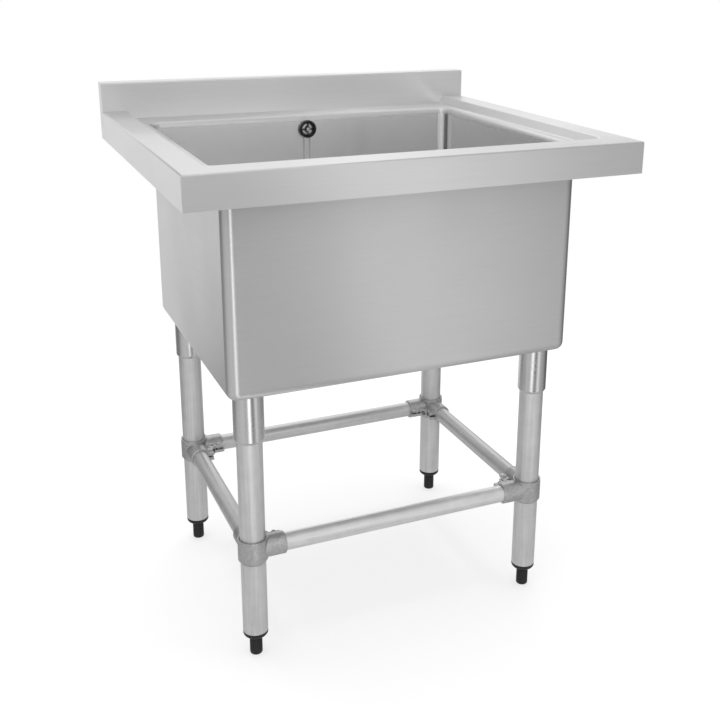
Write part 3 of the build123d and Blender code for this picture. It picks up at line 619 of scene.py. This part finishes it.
def tone_round(nodes, turn, tones):
    """Tone that changes with the angle round the object; turn goes from 0 to 1."""
    ramp = nodes.node("ShaderNodeValToRGB", {"Fac": turn})
    ramp.color_ramp.interpolation = "EASE"
    stops = ramp.color_ramp.elements
    while len(stops) > 1:
        stops.remove(stops[-1])
    for index, (angle, tone) in enumerate(tones):
        position = (angle + 180) / 360
        stop = stops.new(position) if index else stops[0]
        stop.position = position
        stop.color = grey(tone / TONE_PEAK)
    return nodes.times(ramp.outputs["Color"], TONE_PEAK)


def build_world():
    """White to the camera and through glass, studio tones to metal, and plain light to the rest."""
    world = bpy.data.worlds.new("studio")
    bpy.context.scene.world = world
    nodes = Nodes(world)
    nodes.tree.nodes.clear()
    path = nodes.node("ShaderNodeLightPath").outputs
    way = nodes.split(nodes.node("ShaderNodeTexCoord").outputs["Generated"])
    turn = turn_round(nodes, way)
    rise = nodes.span(way["Z"], *HIGH_FROM, smooth=True)
    tone = nodes.mix(rise, tone_round(nodes, turn, LOW_TONES), tone_round(nodes, turn, HIGH_TONES))
    plain, around, white = (
        nodes.node("ShaderNodeBackground", {"Color": grey(1.0), "Strength": strength}).outputs[0]
        for strength in (PLAIN_LIGHT, tone, 1.0)
    )
    lit = nodes.mix_shader(path["Is Glossy Ray"], plain, around)
    seen = nodes.math("MAXIMUM", path["Is Camera Ray"], path["Is Transmission Ray"])
    nodes.node("ShaderNodeOutputWorld", {"Surface": nodes.mix_shader(seen, lit, white)})


def build_floor():
    """A pale floor that runs out to white, keeps the object's soft shadow and is clear from below."""
    mesh = bpy.data.meshes.new("floor")
    form = bmesh.new()
    bmesh.ops.create_circle(form, cap_ends=True, segments=FLOOR_SIDES, radius=FLOOR_REACH)
    form.to_mesh(mesh)
    form.free()
    floor = bpy.data.objects.new("floor", mesh)
    bpy.context.scene.collection.objects.link(floor)
    material = bpy.data.materials.new("studio_floor")
    mesh.materials.append(material)
    nodes = Nodes(material)
    nodes.tree.nodes.clear()
    place = nodes.node("ShaderNodeTexCoord").outputs["Object"]
    path = nodes.node("ShaderNodeLightPath").outputs
    distance = nodes.node("ShaderNodeVectorMath", {0: place}, operation="LENGTH").outputs["Value"]
    lit = nodes.node("ShaderNodeBsdfDiffuse", {"Color": grey(FLOOR_LIT)}).outputs[0]
    shade = nodes.node("ShaderNodeBsdfDiffuse", {"Color": grey(FLOOR_SHADE)}).outputs[0]
    glow = nodes.node("ShaderNodeEmission", {"Strength": FLOOR_GLOW}).outputs[0]
    near = nodes.node("ShaderNodeAddShader", {0: shade, 1: glow}).outputs[0]
    white = nodes.node("ShaderNodeEmission").outputs[0]
    seen = nodes.mix_shader(nodes.span(distance, *SHADOW_REACH, smooth=True), near, white)
    tone = tone_round(nodes, turn_round(nodes, nodes.split(place)), FLOOR_TONES)
    strength = nodes.mix(nodes.span(distance, *NEAR_REACH), NEAR_TONE, tone)
    mirrored = nodes.node("ShaderNodeEmission", {"Strength": strength}).outputs[0]
    unseen = nodes.mix_shader(path["Is Glossy Ray"], lit, mirrored)
    top = nodes.mix_shader(path["Is Camera Ray"], unseen, seen)
    below = nodes.node("ShaderNodeNewGeometry").outputs["Backfacing"]
    clear = nodes.node("ShaderNodeBsdfTransparent").outputs[0]
    nodes.node("ShaderNodeOutputMaterial", {"Surface": nodes.mix_shader(below, top, clear)})


def build_lamp():
    lamp = bpy.data.objects.new("overhead", bpy.data.lights.new("overhead", "AREA"))
    lamp.data.size = LAMP_SIZE
    lamp.data.energy = LAMP_WATTS
    lamp.location = LAMP_PLACE
    lamp.rotation_mode = "QUATERNION"
    lamp.rotation_quaternion = (LAMP_AIM - LAMP_PLACE).to_track_quat("-Z", "Y")
    lamp.visible_camera = False
    lamp.visible_glossy = False
    bpy.context.scene.collection.objects.link(lamp)


def build_camera():
    camera = bpy.data.objects.new("camera", bpy.data.cameras.new("camera"))
    camera.data.lens = CAMERA_LENS
    camera.data.sensor_width = CAMERA_SENSOR
    camera.data.shift_x, camera.data.shift_y = CAMERA_SHIFT
    back = CAMERA_RIGHT.cross(CAMERA_UP).normalized()
    turn = Matrix((CAMERA_RIGHT.normalized(), back.cross(CAMERA_RIGHT).normalized(), back)).transposed()
    camera.matrix_world = Matrix.Translation(CAMERA_PLACE) @ turn.to_4x4()
    bpy.context.scene.collection.objects.link(camera)
    bpy.context.scene.camera = camera


build_world()
build_floor()
build_lamp()
build_camera()

scene = bpy.context.scene
scene.view_settings.view_transform = "Standard"
